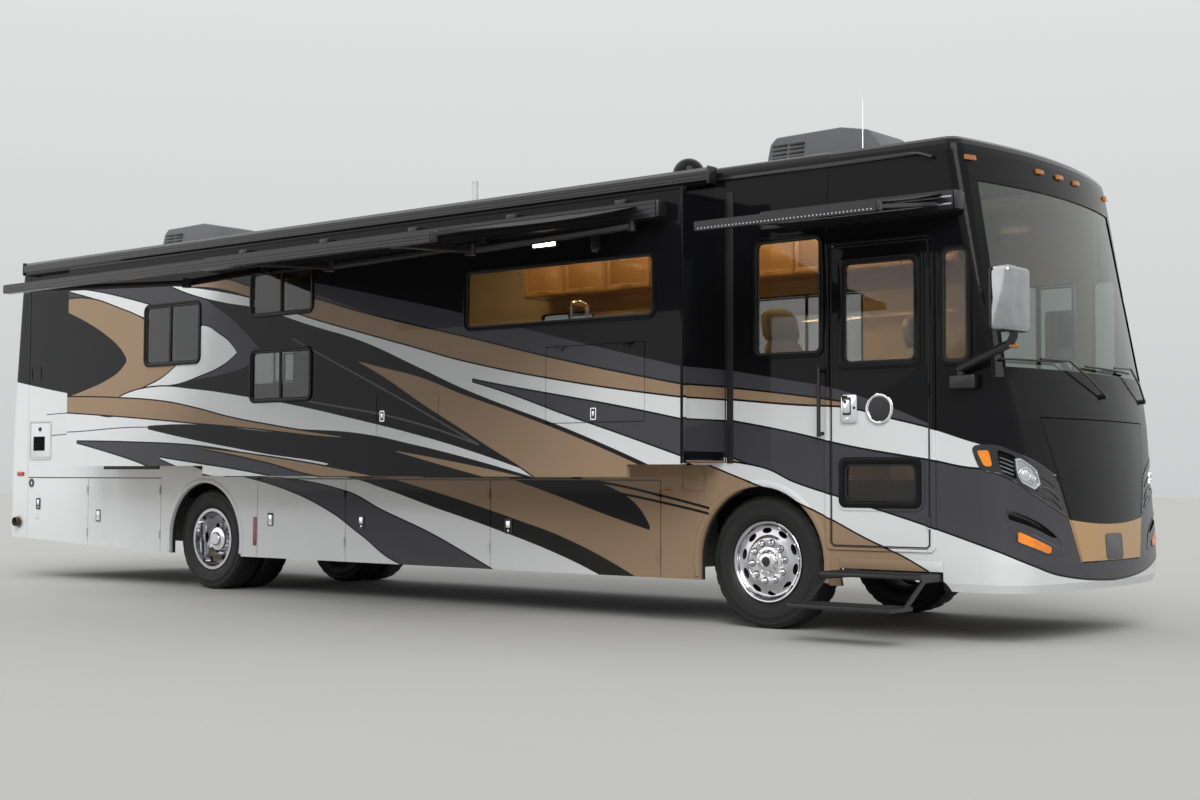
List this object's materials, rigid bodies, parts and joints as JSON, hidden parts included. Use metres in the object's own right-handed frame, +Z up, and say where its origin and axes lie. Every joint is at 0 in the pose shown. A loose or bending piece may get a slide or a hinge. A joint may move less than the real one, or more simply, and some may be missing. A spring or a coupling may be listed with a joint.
{
  "type": "motorhome",
  "caption": "Large flat-fronted motorhome with a full-wall slide-out room, box awnings, entry door with steps, baggage doors and twin rear wheels.",
  "frame": {"origin": "on the ground, on the centreline, midway along the body", "axes": "+X forward, +Y to the left, +Z up"},
  "size_m": [12.284, 5.465, 4.1099],
  "materials": {
    "body_paint": "clearcoat gloss with swept stripes",
    "hood_paint": "clearcoat gloss",
    "hatch_paint": "clearcoat gloss",
    "slide_paint": "clearcoat gloss with swept stripes",
    "slide_hatch_paint": "clearcoat gloss",
    "door_paint": "clearcoat gloss",
    "bay_paint": "clearcoat gloss",
    "roof_white": "smooth moulded",
    "glass_clear": "clear tinted",
    "glass_dark": "dark tinted",
    "trim_black": "satin",
    "chassis_black": "satin with road film",
    "engine_grey": "cast",
    "tyre": "worn rubber",
    "rim_metal": "polished",
    "knuckle_iron": "cast",
    "alu_dark": "powder coated",
    "awning_cloth": "woven",
    "chrome_trim": "polished",
    "lamp_clear": "moulded lens",
    "lamp_black": "moulded",
    "wood_amber": "varnished",
    "seat_leather": "stitched",
    "dash_plastic": "grained",
    "floor_board": "laminate",
    "bay_lining": "smooth"
  },
  "bodies": {
    "coach": {"bays_lining": "bay_lining", "cab_seats": "seat_leather", "cabinets": "wood_amber", "chassis_frame": "chassis_black", "dashboard": "dash_plastic", "door_awning": "alu_dark", "door_canopy": "awning_cloth", "engine_block": "engine_grey", "entry_steps": "trim_black", "floor": "floor_board", "front_axle": "chassis_black", "front_cap": "body_paint", "grab_handle": "trim_black", "hitch_receiver": "chassis_black", "lamp_housings": "lamp_black", "lamps": "lamp_clear", "mirrors": "chrome_trim", "rear_axle": "chassis_black", "rear_cap": "body_paint", "roof": "body_paint", "roof_units": "roof_white", "side_glass": "glass_clear", "side_walls": "body_paint", "skirts": "body_paint", "topper_case": "alu_dark", "window_frames": "trim_black", "windshield": "glass_clear", "wipers": "trim_black"},
    "slide_out": {"slide_room": "slide_paint", "slide_glass": "glass_dark", "slide_frames": "trim_black", "awning_case": "alu_dark", "awning_arms": "alu_dark", "awning_canopy": "awning_cloth", "kitchen_unit": "wood_amber"},
    "slide_hatch": {"slide_hatch": "slide_hatch_paint"},
    "entry_door": {"entry_door": "door_paint", "entry_door_glass": "glass_clear"},
    "hood": {"hood": "hood_paint"},
    "engine_hatch": {"engine_hatch": "hatch_paint"},
    "front_left_knuckle": {"front_left_knuckle": "knuckle_iron"},
    "front_left_wheel": {"front_left_tyre": "tyre", "front_left_rim": "rim_metal"},
    "rear_left_wheels": {"rear_left_tyres": "tyre", "rear_left_rims": "rim_metal"},
    "front_right_knuckle": {"front_right_knuckle": "knuckle_iron"},
    "front_right_wheel": {"front_right_tyre": "tyre", "front_right_rim": "rim_metal"},
    "rear_right_wheels": {"rear_right_tyres": "tyre", "rear_right_rims": "rim_metal"},
    "left_bay_door_1": {"left_bay_door_1": "bay_paint"},
    "left_bay_door_2": {"left_bay_door_2": "bay_paint"},
    "left_bay_door_3": {"left_bay_door_3": "bay_paint"},
    "left_bay_door_4": {"left_bay_door_4": "bay_paint"},
    "right_bay_door_1": {"right_bay_door_1": "bay_paint"},
    "right_bay_door_2": {"right_bay_door_2": "bay_paint"},
    "right_bay_door_3": {"right_bay_door_3": "bay_paint"},
    "right_bay_door_4": {"right_bay_door_4": "bay_paint"},
    "right_bay_door_5": {"right_bay_door_5": "bay_paint"}
  },
  "joints": [
    {"name": "slide_out_travel", "type": "slide", "parent": "coach", "child": "slide_out", "axis": [0, 1, 0], "range_m": [0, 0.5]},
    {"name": "slide_hatch_hinge", "type": "hinge", "parent": "slide_out", "child": "slide_hatch", "pos_m": [2.8325, -1.787, 2.093], "axis": [-1, 0, 0], "range_deg": [0, 80]},
    {"name": "entry_door_hinge", "type": "hinge", "parent": "coach", "child": "entry_door", "pos_m": [5.348, -1.232, 1.7], "axis": [0, 0, 1], "range_deg": [0, 95]},
    {"name": "hood_hinge", "type": "hinge", "parent": "coach", "child": "hood", "pos_m": [5.94, 0, 1.742], "axis": [0, -1, 0], "range_deg": [0, 60]},
    {"name": "engine_hatch_hinge", "type": "hinge", "parent": "coach", "child": "engine_hatch", "pos_m": [-6.128, 0, 1.548], "axis": [0, 1, 0], "range_deg": [0, 75]},
    {"name": "left_bay_door_1_hinge", "type": "hinge", "parent": "coach", "child": "left_bay_door_1", "pos_m": [-4.598, 1.232, 0.74], "axis": [0, 0, -1], "range_deg": [0, 90]},
    {"name": "left_bay_door_2_hinge", "type": "hinge", "parent": "coach", "child": "left_bay_door_2", "pos_m": [-3.328, 1.232, 0.74], "axis": [0, 0, -1], "range_deg": [0, 90]},
    {"name": "left_bay_door_3_hinge", "type": "hinge", "parent": "coach", "child": "left_bay_door_3", "pos_m": [0.612, 1.232, 0.74], "axis": [0, 0, -1], "range_deg": [0, 90]},
    {"name": "left_bay_door_4_hinge", "type": "hinge", "parent": "coach", "child": "left_bay_door_4", "pos_m": [3.029, 1.232, 0.74], "axis": [0, 0, -1], "range_deg": [0, 90]},
    {"name": "right_bay_door_1_hinge", "type": "hinge", "parent": "coach", "child": "right_bay_door_1", "pos_m": [-4.598, -1.232, 0.74], "axis": [0, 0, 1], "range_deg": [0, 90]},
    {"name": "right_bay_door_2_hinge", "type": "hinge", "parent": "coach", "child": "right_bay_door_2", "pos_m": [-3.328, -1.232, 0.74], "axis": [0, 0, 1], "range_deg": [0, 90]},
    {"name": "right_bay_door_3_hinge", "type": "hinge", "parent": "coach", "child": "right_bay_door_3", "pos_m": [-0.562, -1.232, 0.74], "axis": [0, 0, 1], "range_deg": [0, 90]},
    {"name": "right_bay_door_4_hinge", "type": "hinge", "parent": "coach", "child": "right_bay_door_4", "pos_m": [1.235, -1.232, 0.74], "axis": [0, 0, 1], "range_deg": [0, 90]},
    {"name": "right_bay_door_5_hinge", "type": "hinge", "parent": "coach", "child": "right_bay_door_5", "pos_m": [3.029, -1.232, 0.74], "axis": [0, 0, 1], "range_deg": [0, 90]},
    {"name": "front_right_steer", "type": "hinge", "parent": "coach", "child": "front_right_knuckle", "pos_m": [3.95, -0.9, 0.49], "axis": [0, 0, 1], "range_deg": [-40, 40]},
    {"name": "front_right_wheel_spin", "type": "hinge", "parent": "front_right_knuckle", "child": "front_right_wheel", "pos_m": [3.95, -0.997, 0.49], "axis": [0, 1, 0], "continuous": true},
    {"name": "rear_right_wheels_spin", "type": "hinge", "parent": "coach", "child": "rear_right_wheels", "pos_m": [-2.61, -0.832, 0.49], "axis": [0, 1, 0], "continuous": true},
    {"name": "front_left_steer", "type": "hinge", "parent": "coach", "child": "front_left_knuckle", "pos_m": [3.95, 0.9, 0.49], "axis": [0, 0, 1], "range_deg": [-40, 40]},
    {"name": "front_left_wheel_spin", "type": "hinge", "parent": "front_left_knuckle", "child": "front_left_wheel", "pos_m": [3.95, 0.997, 0.49], "axis": [0, 1, 0], "continuous": true},
    {"name": "rear_left_wheels_spin", "type": "hinge", "parent": "coach", "child": "rear_left_wheels", "pos_m": [-2.61, 0.832, 0.49], "axis": [0, 1, 0], "continuous": true}
  ],
  "couplings": [
    {"joint": "front_left_steer", "follows": "front_right_steer", "ratio": 1}
  ]
}
